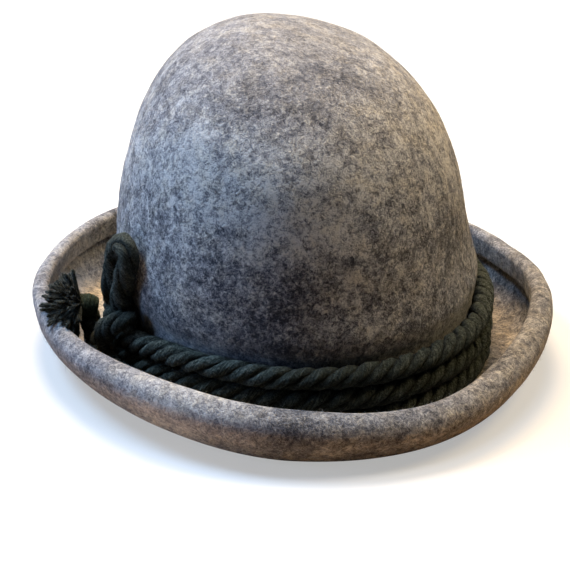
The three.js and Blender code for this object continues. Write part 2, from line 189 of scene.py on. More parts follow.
def crown_value(column, climb):
    table = CROWN_TABLE[column]
    last = len(table) - 1
    place = min(climb / 90, 1) * last
    index = min(int(place), last - 1)
    past = -1 if column == "width" else 1
    v = [
        past * table[last - 1] if row > last else table[abs(row)]
        for row in range(index - 1, index + 3)
    ]
    return between(*v, place - index)


def crown_section(height, inset):
    share = (height - dome_start) / (CROWN_HEIGHT - inset - dome_start)
    climb = math.degrees(math.asin(min(max(share, 0), 1)))
    width = crown_value("width", climb)
    swell = CROWN_SWELL * smooth(height, dome_start, dome_start + swell_height)
    return (
        (HEAD_HALF_WIDTH + swell - inset) * width,
        (HEAD_HALF_LENGTH + swell - inset) * width,
        -CROWN_LEAN * crown_value("lean", climb),
    )


def crown_point(angle, height, inset=0.0):
    half_width, half_length, lean = crown_section(height, inset)
    a = math.radians(angle)
    return np.array([lean + half_width * math.cos(a), half_length * math.sin(a), height])


def unit(v):
    v = np.asarray(v, float)
    return v / np.linalg.norm(v, axis=-1, keepdims=True)


def outward(angle):
    a = math.radians(angle)
    return unit([math.cos(a) / HEAD_HALF_WIDTH, math.sin(a) / HEAD_HALF_LENGTH, 0])


def beside_crown(angle, height, out):
    return crown_point(angle, height) + outward(angle) * out


def beside_trim(along, out, height):
    a = math.radians(TRIM_ANGLE)
    per_radian = math.hypot(HEAD_HALF_WIDTH * math.sin(a), HEAD_HALF_LENGTH * math.cos(a)) + out
    return beside_crown(TRIM_ANGLE + math.degrees(along / per_radian), height, out)


def brim_frame(angle):
    slope = math.radians(WALL_SLOPE)
    fold = np.array([BRIM_REACH * brim_value("reach", angle), RIM_HEIGHT * brim_value("rim", angle)])
    lift = BRIM_LIFT * max(brim_value("lift", angle), 0)
    rise = fold[1] - CURL_RADIUS - lift
    run = (CURL_RADIUS - fold_radius + math.cos(slope) * rise) / math.sin(slope)
    curl = np.array([fold[0] - run, CURL_RADIUS + lift])
    return fold, curl, lift


def floor_lift(curl, lift, out):
    return lift * smooth(out, tail_room, max(curl[0], tail_room + cord_radius))


def wave(angle, seed, parts):
    """A smooth wavy value round the hat, about -1 to 1. parts are whole waves per turn."""
    local = np.random.default_rng(seed)
    value = 0.0
    for n in parts:
        value += local.uniform(0.5, 1) * math.sin(math.radians(angle) * n + local.uniform(0, 6.28))
    return value / len(parts)


def arc(centre, radius, start, end, steps):
    angles = np.radians(np.linspace(start, end, steps + 1))
    return np.stack([centre[0] + radius * np.cos(angles), centre[1] + radius * np.sin(angles)], 1)


def bezier(start, start_way, end, end_way, steps):
    """A smooth curve between two points, without the points themselves."""
    reach = np.linalg.norm(end - start) / 3
    t = np.linspace(0, 1, steps + 2)[1:-1, None]
    a, b = start + start_way * reach, end - end_way * reach
    return (1 - t) ** 3 * start + 3 * t * (1 - t) ** 2 * a + 3 * t * t * (1 - t) * b + t**3 * end


def offset_line(line, distance):
    """A line beside another, on the left of its way."""
    way = unit(np.gradient(line, axis=0))
    return line + np.stack([-way[:, 1], way[:, 0]], 1) * distance


def brim_section(angle):
    """The brim's section at one angle: a round roll whose turned-in hem hangs free inside."""
    fold, curl, lift = brim_frame(angle)
    roll = rim_value("roll", angle) + 0.25 * wave(angle, 11, (4, 9, 15, 26))
    drop = rim_value("drop", angle)
    lip = rim_value("lip", angle) + 0.12 * wave(angle, 13, (5, 12, 22))
    hang = rim_value("hang", angle) + 0.35 * wave(angle, 3, (9, 17, 31, 47))
    top = fold[1] + fold_radius - drop
    outermost = fold[0] + fold_radius - 0.1 - 0.1 * drop
    outer = np.array([outermost - roll, top - roll])
    inner = np.array([outermost - roll, top - lip])

    start_angle, end_angle = 0, -32
    over = arc(outer, roll, 90, start_angle, 16)
    tail = arc(curl, CURL_RADIUS, end_angle, -90, 14)
    a = math.radians(end_angle)
    wall_end = np.array([math.sin(a), -math.cos(a)])
    wall_line = bezier(over[-1], np.array([0.0, -1.0]), tail[0], wall_end, 9)
    outside = np.vstack([over, wall_line, tail])
    inside = offset_line(outside, -FELT_THICKNESS)[::-1]
    turned = math.radians(HEM_TURN)
    down = np.array([-math.sin(turned), math.cos(turned)])
    aside = np.array([math.cos(turned), math.sin(turned)])
    hem_top = inner + lip * aside
    hem_under = inner + (lip - FELT_THICKNESS) * aside
    length = max(hang - lip, 2.0)
    hem_in = [hem_top + down * length * share for share in (0.95, 0.75, 0.5, 0.25)]
    hem_in[0] = hem_in[0] + (hem_under - hem_top) * 0.06
    hem_out = [hem_under + down * length * share for share in (0.25, 0.5, 0.75, 0.95)]
    hem_out[-1] = hem_out[-1] + (hem_top - hem_under) * 0.08
    edge = [
        hem_under + down * length + (hem_top - hem_under) * 0.25,
        hem_top + down * length + (hem_under - hem_top) * 0.22,
    ]
    beneath = arc(inner, lip - FELT_THICKNESS, 96, HEM_TURN, 7)
    above = arc(inner, lip, HEM_TURN, 96, 12)

    reaches = np.linspace(tail_room * 0.5, curl[0], 9)[:-1]
    floor_top = [(x, FELT_THICKNESS + floor_lift(curl, lift, x)) for x in reaches]
    floor_under = [(x, floor_lift(curl, lift, x)) for x in reversed(reaches)]
    break_centre = (BREAK_RADIUS, FELT_THICKNESS + BREAK_RADIUS)
    return np.vstack(
        [
            arc(break_centre, BREAK_RADIUS, 180, 270, 6),
            floor_top,
            inside,
            beneath,
            hem_out,
            edge,
            hem_in,
            above,
            outside,
            floor_under,
            arc(break_centre, BREAK_RADIUS + FELT_THICKNESS, 270, 180, 8),
        ]
    )


def rest_height(angle, out):
    _, curl, lift = brim_frame(angle)
    height = 0
    for lean in range(-60, 61, 10):
        aside = cord_radius * math.sin(math.radians(lean))
        above = cord_radius * math.cos(math.radians(lean))
        height = max(height, FELT_THICKNESS + floor_lift(curl, lift, out + aside) + above)
    return height + SEAT_GAP


def crown_heights(top):
    rows = 44
    heights = [dome_start + swell_height * share for share in np.linspace(0, 1, 9)[:-1]]
    first = math.asin(swell_height / (top - dome_start))
    climbs = [first + (math.pi / 2 - first) * i / rows for i in range(rows)]
    return heights + [dome_start + (top - dome_start) * math.sin(c) for c in climbs]


def felt_column(angle):
    outside = [crown_point(angle, z, 0) for z in reversed(crown_heights(CROWN_HEIGHT))]
    outside += [crown_point(angle, z, 0) for z in np.linspace(dome_start, 8, 8)[1:]]
    inside = [crown_point(angle, z, FELT_THICKNESS) for z in np.linspace(8, dome_start, 8)[:-1]]
    inside += [crown_point(angle, z, FELT_THICKNESS) for z in crown_heights(CROWN_HEIGHT - FELT_THICKNESS)]
    brim = []
    for x, y in brim_section(angle):
        foot = crown_point(angle, min(y, FELT_THICKNESS + BREAK_RADIUS), 0) + outward(angle) * x
        brim.append(np.array([foot[0], foot[1], y]))
    return outside + brim + inside


def lumps(p):
    """A slow sideways wander of the felt, in mm, the same on both of its faces."""
    local = np.random.default_rng(23)
    total = np.zeros(len(p))
    for size, height in ((95, 0.55), (60, 0.4), (38, 0.28), (22, 0.16), (13, 0.09)):
        for _ in range(4):
            d = unit(local.normal(size=3)) * (2 * math.pi / size)
            total += height * 0.5 * np.sin(p @ d + local.uniform(0, 6.28))
    return total


COLUMNS = 300
felt_grid = np.array([felt_column(360 * i / COLUMNS) for i in range(COLUMNS)])
felt_poles = np.array(
    [
        crown_point(0, CROWN_HEIGHT, 0),
        crown_point(0, CROWN_HEIGHT - FELT_THICKNESS, FELT_THICKNESS),
    ]
)
low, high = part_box("felt_body")
middle = np.array([(low.x + high.x) / 2 / MM, (low.y + high.y) / 2 / MM])
flat = felt_grid.reshape(-1, 3)
shift = middle - (flat[:, :2].min(0) + flat[:, :2].max(0)) / 2
SHIFT = np.array([shift[0], shift[1], 0.0])


# Meshes
def make_object(name, verts_mm, faces, material, replaced=()):
    mesh = bpy.data.meshes.new(name)
    mesh.from_pydata(((np.asarray(verts_mm) + SHIFT) * MM).tolist(), [], faces)
    mesh.update()
    mesh.shade_smooth()
    obj = bpy.data.objects.new(name, mesh)
    bpy.context.scene.collection.objects.link(obj)
    mesh.materials.append(material)
    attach(obj, "root")
    if replaced:
        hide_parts(*replaced)
    return obj


def set_vector(obj, name, values):
    layer = obj.data.attributes.new(name, "FLOAT_VECTOR", "POINT")
    layer.data.foreach_set("vector", np.asarray(values, np.float32).ravel())


def set_float(obj, name, values):
    layer = obj.data.attributes.new(name, "FLOAT", "POINT")
    layer.data.foreach_set("value", np.asarray(values, np.float32).ravel())


def grid_faces(columns, rows):
    """Quads joining columns of equal length all round."""
    i = np.arange(columns)[:, None]
    j = np.arange(rows - 1)[None, :]
    k = (i + 1) % columns
    quads = np.stack([i * rows + j, i * rows + j + 1, k * rows + j + 1, k * rows + j], -1)
    return quads.reshape(-1, 4).tolist()


def tube_faces(rings, sides, offset=0):
    i = np.arange(rings - 1)[:, None] * sides
    j = np.arange(sides)[None, :]
    k = (j + 1) % sides
    quads = np.stack([i + j, i + k, i + sides + k, i + sides + j], -1).reshape(-1, 4) + offset
    faces = quads.tolist()
    faces.append([offset + s for s in reversed(range(sides))])
    last = offset + (rings - 1) * sides
    faces.append([last + s for s in range(sides)])
    return faces


def hairs(name, roots, directions, lengths, radii, material, curl):
    """Many fine fibres, each a closed, bent and tapered spike with three sides."""
    n = len(roots)
    directions = unit(directions)
    bend = unit(np.cross(directions, rng.normal(size=(n, 3))))
    bend2 = unit(np.cross(directions, bend))
    amount = rng.normal(0, curl, size=(n, 1))
    amount2 = rng.normal(0, curl, size=(n, 1))
    line = []
    points = HAIR_POINTS
    for share in np.linspace(0, 1, points):
        along = directions * share + bend * amount * share**2 + bend2 * amount2 * (share**3 - share * 0.5)
        line.append(roots + along * lengths[:, None])
    line = np.array(line)
    rings = []
    for k in range(points - 1):
        r = radii[:, None] * (1 - 0.75 * k / (points - 1))
        for s in range(3):
            a = 2 * math.pi * s / 3
            rings.append(line[k] + (bend * math.cos(a) + bend2 * math.sin(a)) * r)
    rings.append(line[-1])
    verts = np.stack(rings, 1)
    per = verts.shape[1]
    base = np.arange(n)[:, None] * per
    tris = [[2, 1, 0]]
    for k in range(points - 2):
        for s in range(3):
            t = (s + 1) % 3
            a, b, c, d = k * 3 + s, k * 3 + t, k * 3 + 3 + t, k * 3 + 3 + s
            tris += [[a, b, c], [a, c, d]]
    last = (points - 2) * 3
    for s in range(3):
        tris.append([last + s, last + (s + 1) % 3, per - 1])
    faces = (base[:, :, None] + np.array(tris)[None]).reshape(-1, 3)
    return make_object(name, verts.reshape(-1, 3), faces.tolist(), material)


# Materials
class Nodes:
    """A small helper that adds and links shader nodes."""

    def __init__(self, name, sheen=0.0, roughness=0.95, specular=0.25):
        self.material = bpy.data.materials.new(name)
        self.material.use_nodes = True
        self.tree = self.material.node_tree
        self.tree.nodes.clear()
        self.output = self.tree.nodes.new("ShaderNodeOutputMaterial")
        self.shader = self.tree.nodes.new("ShaderNodeBsdfPrincipled")
        self.shader.inputs["Roughness"].default_value = roughness
        self.shader.inputs["Specular IOR Level"].default_value = specular
        self.shader.inputs["Sheen Weight"].default_value = sheen
        self.shader.inputs["Sheen Roughness"].default_value = 0.55
        self.link(self.shader.outputs[0], self.output.inputs[0])

    def link(self, a, b):
        self.tree.links.new(a, b)

    def add(self, kind, values=None, **settings):
        made = self.tree.nodes.new("ShaderNode" + kind)
        for key, value in settings.items():
            setattr(made, key, value)
        for key, value in (values or {}).items():
            if isinstance(value, bpy.types.NodeSocket):
                self.link(value, made.inputs[key])
            else:
                made.inputs[key].default_value = value
        return made

    def noise(self, vector, scale, detail=2.0, roughness=0.5, distortion=0.0):
        made = self.add(
            "TexNoise",
            {
                "Vector": vector,
                "Scale": scale,
                "Detail": detail,
                "Roughness": roughness,
                "Distortion": distortion,
            },
        )
        return made.outputs["Fac"]

    def math(self, operation, a, b=0.0):
        return self.add("Math", {0: a, 1: b}, operation=operation).outputs[0]

    def spread(self, value, low, high, out_low=0.0, out_high=1.0):
        made = self.add("MapRange", {0: value, 1: low, 2: high, 3: out_low, 4: out_high})
        return made.outputs[0]

    def mix(self, factor, a, b):
        made = self.add("Mix", {0: factor, 6: a, 7: b}, data_type="RGBA")
        return made.outputs[2]

    def tinted(self, factor, a, b):
        made = self.add("Mix", {0: factor, 6: a, 7: b}, data_type="RGBA", blend_type="MULTIPLY")
        return made.outputs[2]

    def scaled(self, vector, scale):
        return self.add("Mapping", {"Vector": vector, "Scale": scale}).outputs[0]

    def colour(self, socket):
        self.link(socket, self.shader.inputs["Base Color"])

    def bump(self, height, strength, distance, before=None):
        values = {"Height": height, "Strength": strength, "Distance": distance}
        if before is not None:
            values["Normal"] = before
        return self.add("Bump", values).outputs[0]


def rgb(r, g, b):
    return (r, g, b, 1.0)


# Darker (or lighter) places in the felt: their middles and radii in mm, and their strength. Some are patches
# of the felt itself, some painted shade and some painted light.
FELT_PATCHES_PAINTED_LIGHT_AND_SHADE = [
    ((17, -43, 150), 20, -0.09),
    ((-21, -63, 140), 16, -0.08),
    ((0, -97, 74), 28, -0.06),
    ((2, -88, 100), 22, 0.05),
    # Painted shade on the crown's lower front, and under the rim's roll at the front.
    ((0, -101, 44), 22, -0.10),
    ((60, -78, 44), 20, -0.05),
    ((6, -137, 22), 15, -0.17),
    ((-40, -70, 118), 18, 0.05),
    # Painted light inside the brim at the left back, and on the rim's roll at the front left.
    ((-112, 35, 8), 38, 0.22),
    ((-45, -124, 25), 40, 0.25),
]


def felt_material():
    """Heather-grey felt: black, grey and white wool in clouds, specks and curly fibres."""
    n = Nodes("felt_wool", sheen=0.15, roughness=0.95, specular=0.1)
    place = n.add("TexCoord").outputs["Object"]
    clouds = n.noise(place, 17, 2.0, 0.5, 0.5)
    patches = n.noise(place, 70, 3.0, 0.6, 0.8)
    spots = n.noise(place, 210, 2.0, 0.6, 0.6)
    specks = n.noise(place, 520, 2.0, 0.65, 0.9)
    grains = n.noise(place, 980, 1.5, 0.6, 1.4)
    curls = n.noise(place, 430, 1.0, 0.5, 2.2)
    ridge = n.math("ABSOLUTE", n.math("SUBTRACT", curls, 0.5))
    curly = n.spread(ridge, 0.0, 0.045, 1.0, 0.0)

    tone = n.math("ADD", 0.0, 0.5)
    weights = ((clouds, 0.4), (patches, 0.72), (spots, 0.78), (specks, 1.1), (grains, 0.95))
    for value, weight in weights:
        part = n.math("MULTIPLY", n.math("SUBTRACT", value, 0.5), weight)
        tone = n.math("ADD", tone, part)
    tone = n.math("ADD", tone, n.math("MULTIPLY", curly, 0.10))
    # The specks are weaker low down and at the top, and the top is lighter, as in the photo: the lighter top
    # is painted light from above.
    height = n.add("SeparateXYZ", {0: place}).outputs["Z"]
    contrast = n.math(
        "MULTIPLY", n.spread(height, 0.034, 0.05, 0.76, 1.14), n.spread(height, 0.105, 0.16, 1.0, 0.5)
    )
    tone = n.math("ADD", n.math("MULTIPLY", n.math("SUBTRACT", tone, 0.5), contrast), 0.5)
    # Painted light: the crown's felt gets lighter towards its top.
    tone = n.math("ADD", tone, n.spread(height, 0.06, 0.15, 0.0, 0.075))
    # Painted light: a lighter belt goes round the crown above its middle. Painted shade: its foot, just
    # above the cord, is darker.
    painted_light_belt = n.math("MULTIPLY", n.spread(height, 0.08, 0.102), n.spread(height, 0.136, 0.118))
    tone = n.math("ADD", tone, n.math("MULTIPLY", painted_light_belt, 0.13))
    foot = n.math("MULTIPLY", n.spread(height, 0.034, 0.038), n.spread(height, 0.065, 0.042))
    tone = n.math("ADD", tone, n.math("MULTIPLY", foot, -0.045))
    # Each spot lightens or darkens the tone: felt patches, painted shade and painted light.
    for spot_place, radius, strength in FELT_PATCHES_PAINTED_LIGHT_AND_SHADE:
        middle_of_spot = [v * MM for v in spot_place]
        away = n.add("VectorMath", {0: place, 1: middle_of_spot}, operation="DISTANCE").outputs["Value"]
        ragged = n.math("MULTIPLY", n.math("SUBTRACT", patches, 0.5), radius * MM)
        away = n.math("ADD", away, ragged)
        near = n.spread(away, radius * MM * 1.15, radius * MM * 0.3)
        tone = n.math("ADD", tone, n.math("MULTIPLY", near, strength))
    ramp = n.add("ValToRGB", {"Fac": tone})
    stops = ramp.color_ramp.elements
    stops[0].position = 0.16
    stops[0].color = rgb(0.028, 0.030, 0.038)
    stops[1].position = 0.90
    stops[1].color = rgb(0.66, 0.64, 0.60)
    greys = ((0.36, (0.105, 0.107, 0.12)), (0.54, (0.235, 0.233, 0.24)), (0.72, (0.42, 0.412, 0.40)))
    for position, colour in greys:
        stop = stops.new(position)
        stop.color = rgb(*colour)
    hue = n.noise(place, 120, 2.0, 0.6)
    warmth = n.mix(n.spread(hue, 0.45, 0.65), rgb(1.0, 1.0, 1.02), rgb(1.03, 0.99, 0.93))
    warmed = n.tinted(1.0, ramp.outputs[0], warmth)
    # Painted warm light: the brim's inside is a little lighter and warmer.
    head_shares = (1 / (HEAD_HALF_WIDTH * MM), 1 / (HEAD_HALF_LENGTH * MM), 0)
    across = n.add("VectorMath", {0: place, 1: head_shares}, operation="MULTIPLY").outputs[0]
    across = n.add("VectorMath", {0: across}, operation="LENGTH").outputs["Value"]
    painted_light_in_brim = n.math("MULTIPLY", n.spread(across, 1.40, 1.28), n.spread(height, 0.030, 0.022))
    n.colour(n.tinted(painted_light_in_brim, warmed, rgb(1.25, 1.12, 0.90)))
    hair = n.bump(n.math("ADD", grains, n.math("MULTIPLY", curly, 0.5)), 0.6, 0.0005)
    n.link(n.bump(specks, 0.5, 0.0008, hair), n.shader.inputs["Normal"])
    return n.material


def fibre_material(name, colours):
    n = Nodes(name, sheen=0.3, roughness=0.8, specular=0.2)
    place = n.add("TexCoord").outputs["Object"]
    value = n.spread(n.noise(place, 700, 1.0), 0.35, 0.65)
    n.colour(n.mix(value, rgb(*colours[0]), rgb(*colours[1])))
    return n.material


def wool_material(name, dark, middle_tone, light):
    """Spun wool: fibres run along the strand, by the point's place in the straight strand."""
    hair_size = (1 / 9.0, 1 / 0.22, 1 / 0.22)
    lock_size = (1 / 16, 1 / 0.9, 1 / 0.9)
    n = Nodes(name, sheen=0.05, roughness=0.97, specular=0.05)
    place = n.add("TexCoord").outputs["Object"]
    lay = n.add("Attribute", attribute_name="lay").outputs["Vector"]
    fine = n.noise(n.scaled(lay, hair_size), 1.0, 2.0, 0.6, 0.3)
    coarse = n.noise(n.scaled(lay, lock_size), 1.0, 1.5, 0.5, 0.5)
    fuzz = n.noise(place, 900, 3.0, 0.75, 0.6)
    slow = n.noise(place, 55, 2.0, 0.5)
    tone = n.math("MULTIPLY", n.spread(fine, 0.34, 0.66), 0.38)
    tone = n.math("ADD", tone, n.math("MULTIPLY", n.spread(coarse, 0.34, 0.66), 0.20))
    tone = n.math("ADD", tone, n.math("MULTIPLY", n.spread(fuzz, 0.38, 0.62), 0.42))
    ramp = n.add("ValToRGB", {"Fac": tone})
    stops = ramp.color_ramp.elements
    stops[0].position = 0.2
    stops[0].color = rgb(*dark)
    stops[1].position = 0.85
    stops[1].color = rgb(*light)
    stop = stops.new(0.52)
    stop.color = rgb(*middle_tone)
    duller = rgb(*[c * 0.8 for c in middle_tone])
    toned = n.mix(n.spread(slow, 0.4, 0.65, 0.0, 0.45), ramp.outputs[0], duller)
    # Painted shade: a point's painted shade, where the mesh has one, darkens the grooves between the strands
    # and, all over, the hitch and the tassel.
    painted_shade = n.add("Attribute", attribute_name="painted_shade").outputs["Fac"]
    n.colour(n.mix(painted_shade, toned, rgb(*[c * 0.25 for c in dark])))
    first = n.bump(coarse, 0.8, 0.0012)
    second = n.bump(fine, 0.9, 0.0006, first)
    n.link(n.bump(fuzz, 0.9, 0.0011, second), n.shader.inputs["Normal"])
    return n.material


felt = felt_material()
felt_hair = fibre_material("felt_loose_fibres", ((0.22, 0.22, 0.23), (0.5, 0.48, 0.44)))
green = wool_material("green_wool", (0.012, 0.016, 0.013), (0.056, 0.067, 0.056), (0.21, 0.23, 0.19))
green_hair = fibre_material("green_loose_fibres", ((0.032, 0.040, 0.033), (0.14, 0.155, 0.125)))
knot_green = wool_material("knot_wool", (0.012, 0.018, 0.010), (0.042, 0.056, 0.032), (0.13, 0.15, 0.095))

# The felt
rows = felt_grid.shape[1]
grid = felt_grid.reshape(-1, 3)
everything = np.vstack([grid, felt_poles])
radial = everything * np.array([1, 1, 0])
radial[:, 0] += 8
height_share = np.clip(everything[:, 2] / 40, 0, 1)[:, None]
sideways = unit(radial + 1e-6) * (1 - np.clip((everything[:, 2:3] - 90) / 74, 0, 1)) + UP * np.clip(
    (everything[:, 2:3] - 90) / 74, 0, 1
)
felt_points = everything + sideways * lumps(everything)[:, None] * height_share * 0.8
faces = grid_faces(COLUMNS, rows)
top_pole, under_pole = len(grid), len(grid) + 1
for i in range(COLUMNS):
    here, following = i * rows, (i + 1) % COLUMNS * rows
    faces.append([top_pole, here, following])
    faces.append([under_pole, following + rows - 1, here + rows - 1])
felt_piece = make_object("felt_hat", felt_points, faces, felt, replaced=("felt_body",))
felt_piece.data.set_sharp_from_angle(angle=math.radians(62))
felt_tree = BVHTree.FromPolygons(felt_points.tolist(), faces)


def clear_of_felt(point, room):
    """The point itself, or the nearest place that is outside the felt by the room given."""
    place, normal, _, _ = felt_tree.find_nearest(Vector(point))
    depth = (Vector(point) - place).dot(normal)
    if depth >= room:
        return point
    return np.array(place + normal * room)


# The cord
def catmull(points):
    """Points along a centripetal Catmull-Rom curve, as the part's source draws it."""
    p = np.asarray(points, float)
    p = np.vstack([2 * p[0] - p[1], p, 2 * p[-1] - p[-2]])
    per_segment = 24
    out = []
    for i in range(1, len(p) - 2):
        p0, p1, p2, p3 = p[i - 1 : i + 3]
        pairs = ((p0, p1), (p1, p2), (p2, p3))
        d0, d1, d2 = (max(np.linalg.norm(b - a) ** 0.5, 1e-4) for a, b in pairs)
        t1 = ((p1 - p0) / d0 - (p2 - p0) / (d0 + d1) + (p2 - p1) / d1) * d1
        t2 = ((p2 - p1) / d1 - (p3 - p1) / (d1 + d2) + (p3 - p2) / d2) * d1
        t = np.linspace(0, 1, per_segment, endpoint=False)[:, None]
        c2 = -3 * p1 + 3 * p2 - 2 * t1 - t2
        c3 = 2 * p1 - 2 * p2 + t1 + t2
        out.append(p1 + t1 * t + c2 * t**2 + c3 * t**3)
    out.append(p[-2][None])
    return np.vstack(out)


def spaced(points, step):
    lengths = np.r_[0, np.cumsum(np.linalg.norm(np.diff(points, axis=0), axis=1))]
    count = max(int(round(lengths[-1] / step)), 4)
    at = np.linspace(0, lengths[-1], count + 1)
    return np.stack([np.interp(at, lengths, points[:, k]) for k in range(3)], 1), at


def frames(centres, first_side=None):
    tangents = unit(np.gradient(centres, axis=0))
    side = unit(np.cross(UP, tangents[0])) if first_side is None else first_side
    sides = []
    for t in tangents:
        side = unit(side - t * side.dot(t))
        sides.append(side)
    sides = np.array(sides)
    return tangents, sides, np.cross(tangents, sides)


def slow_noise(at, size, seed):
    local = np.random.default_rng(seed)
    knots = local.normal(size=int(at[-1] / size) + 4)
    return np.interp(at / size, np.arange(len(knots)), knots)


def strand(route, number, seed, loop_length, pitch):
    """One of the cord's three strands: its points, faces, places when straight, and painted shade in its
    grooves.
    """
    sides = STRAND_SIDES
    centres, at = spaced(catmull(route), STRAND_STEP)
    tangents, across, over = frames(centres)
    in_loop = np.clip((at - (at[-1] - loop_length)) / 18, 0, 1) if loop_length else np.zeros_like(at)
    rate = 2 * math.pi / (pitch * (1 + 0.8 * in_loop))
    turn = math.radians(120 * number) - np.cumsum(rate) * (at[1] - at[0])
    turn = turn + 0.12 * slow_noise(at, 21, seed + 40)
    radial_way = across * np.cos(turn)[:, None] + over * np.sin(turn)[:, None]
    offset = (STRAND_OFFSET + 0.10 * slow_noise(at, 9, seed + number)) * (1 - 0.12 * in_loop)
    middle_line = centres + radial_way * offset[:, None]
    along = unit(np.gradient(middle_line, axis=0))
    aside = unit(np.cross(along, radial_way))
    radial_way = np.cross(aside, along)
    fullness = (1 + 0.065 * slow_noise(at, 7, seed + 11 * number + 5)) * (1 + 0.13 * in_loop)
    fullness = fullness * (1 + LOBE_SWELL * np.cos(turn - 0.75 * math.pi) * (1 - in_loop))
    rings, lay, painted_shade = [], [], []
    rough = np.random.default_rng(seed + number + 700).normal(0, 0.08, (len(at), sides))
    rough = (np.roll(rough, 1, 0) + 2 * rough + np.roll(rough, -1, 0)) / 2.4
    for k in range(sides):
        a = 2 * math.pi * k / sides
        ply = 1 + 0.05 * np.cos(4 * a + at * 2 * math.pi / 17 + number) + rough[:, k]
        upward = STRAND_HALF_HEIGHT * fullness * ply * math.cos(a)
        sideward = STRAND_HALF_WIDTH * fullness * ply * math.sin(a)
        ring = middle_line + radial_way * upward[:, None] + aside * sideward[:, None]
        rings.append(ring)
        # Painted shade: the deeper a point lies between the strands, the darker it is.
        painted_shade.append(np.clip((5.0 - np.linalg.norm(ring - centres, axis=1)) / 1.7, 0, 1))
        spin = a + at * 2 * math.pi / FIBRE_PITCH
        lay.append(np.stack([at + number * 777, 2.7 * np.cos(spin), 2.7 * np.sin(spin)], 1))
    verts = np.stack(rings, 1).reshape(-1, 3)
    lay = np.stack(lay, 1).reshape(-1, 3)
    return verts, tube_faces(len(at), sides), lay, np.stack(painted_shade, 1).ravel()


def climb_share(angle):
    return smooth(angle, CLIMB_START_ANGLE, CLIMB_START_ANGLE + CLIMB_ANGLE)


def tail_point(angle):
    above = row_height(climb_share(angle))
    out = cord_out
    while math.hypot(out - cord_out, above - rest_height(angle, out)) < cord_pitch:
        out += 0.2
    return beside_crown(angle, rest_height(angle, out), out)


def from_cord_table(row):
    return beside_trim(*(value * CORD_DIAMETER for value in row))


def cord_route():
    route = [from_cord_table(row) for row in TAIL_TABLE]
    climb_end = CLIMB_START_ANGLE + CLIMB_ANGLE
    route += [tail_point(angle) for angle in range(TRIM_ANGLE + 5, climb_end, 5)]
    for angle in range(climb_end, CLIMB_START_ANGLE + 360 * CORD_TURNS + 1, 5):
        turn = (angle - CLIMB_START_ANGLE) // 360
        row = 0 if turn == 0 else turn - 1 + climb_share(angle - turn * 360)
        route.append(beside_crown(angle, row_height(row), cord_out))
    top = row_height(CORD_TURNS - 1)
    for a, u in LOOP_TABLE:
        aside = LOOP_ASIDE * smooth(u, 0.1, 0.4)
        height = top + u * (LOOP_HEIGHT - LOOP_LOWERED)
        route.append(beside_trim(a * LOOP_WIDTH + aside, cord_out, height))
    return np.array(route)


def rope_pieces(prefix, route, replaced, seed, loop_length=0.0, pitch=STRAND_PITCH, painted_shade_base=0.0):
    made = []
    # Painted shade: the grooves get darker, and a piece's base shade darkens all of it.
    darkest = 0.9
    for number in range(3):
        verts, faces, lay, painted_shade = strand(route, number, seed, loop_length, pitch)
        obj = make_object(f"{prefix}_{number + 1}", verts, faces, green, replaced)
        set_vector(obj, "lay", lay)
        set_float(obj, "painted_shade", painted_shade_base + (darkest - painted_shade_base) * painted_shade)
        made.append(verts)
    return made


route = cord_route()
cord_verts = rope_pieces("cord_strand", route, ("wool_cord",), 3, LOOP_LENGTH)
hitch_route = np.array([from_cord_table(row) for row in HITCH_TABLE])
# Painted shade: the hitch is darker all over.
hitch_verts = rope_pieces(
    "hitch_strand", hitch_route, ("cord_hitch",), 90, pitch=HITCH_PITCH, painted_shade_base=0.4
)

# The end knot and the tassel
cord_end = from_cord_table(TAIL_TABLE[0])
end_aim = unit(cord_end - from_cord_table(TAIL_TABLE[1]))
out_way = outward(TRIM_ANGLE)
along_way = np.array([-out_way[1], out_way[0], 0])
brush_aim = out_way * TASSEL_AIM["out"] + along_way * TASSEL_AIM["along"]
brush_aim = unit([brush_aim[0], brush_aim[1], TASSEL_AIM["up"]])
knot_middle = cord_end + end_aim * (SEAT_GAP + KNOT_DIAMETER / 2)
level = unit(np.cross(brush_aim, UP))
brush_up = np.cross(level, brush_aim)
brush_root = knot_middle + brush_aim * (KNOT_DIAMETER / 2 + SEAT_GAP)


def closed_tube(points, radius, faces, verts, lays, key):
    """A yarn bent into a ring, added to the lists."""
    n, sides = len(points), 12
    tangents = unit(np.roll(points, -1, 0) - np.roll(points, 1, 0))
    centre = points.mean(0)
    out = points - centre
    out = unit(out - tangents * np.sum(out * tangents, 1)[:, None])
    aside = np.cross(tangents, out)
    start = len(verts)
    at = np.arange(n) * np.linalg.norm(points[1] - points[0])
    for i in range(n):
        for k in range(sides):
            a = 2 * math.pi * k / sides
            verts.append(points[i] + (out[i] * math.cos(a) + aside[i] * math.sin(a)) * radius)
            spin = a + at[i] * 0.5
            lays.append((at[i] + key, radius * math.cos(spin), radius * math.sin(spin)))
    for i in range(n):
        here, following = start + i * sides, start + (i + 1) % n * sides
        for k in range(sides):
            beside = (k + 1) % sides
            faces.append([here + k, here + beside, following + beside, following + k])


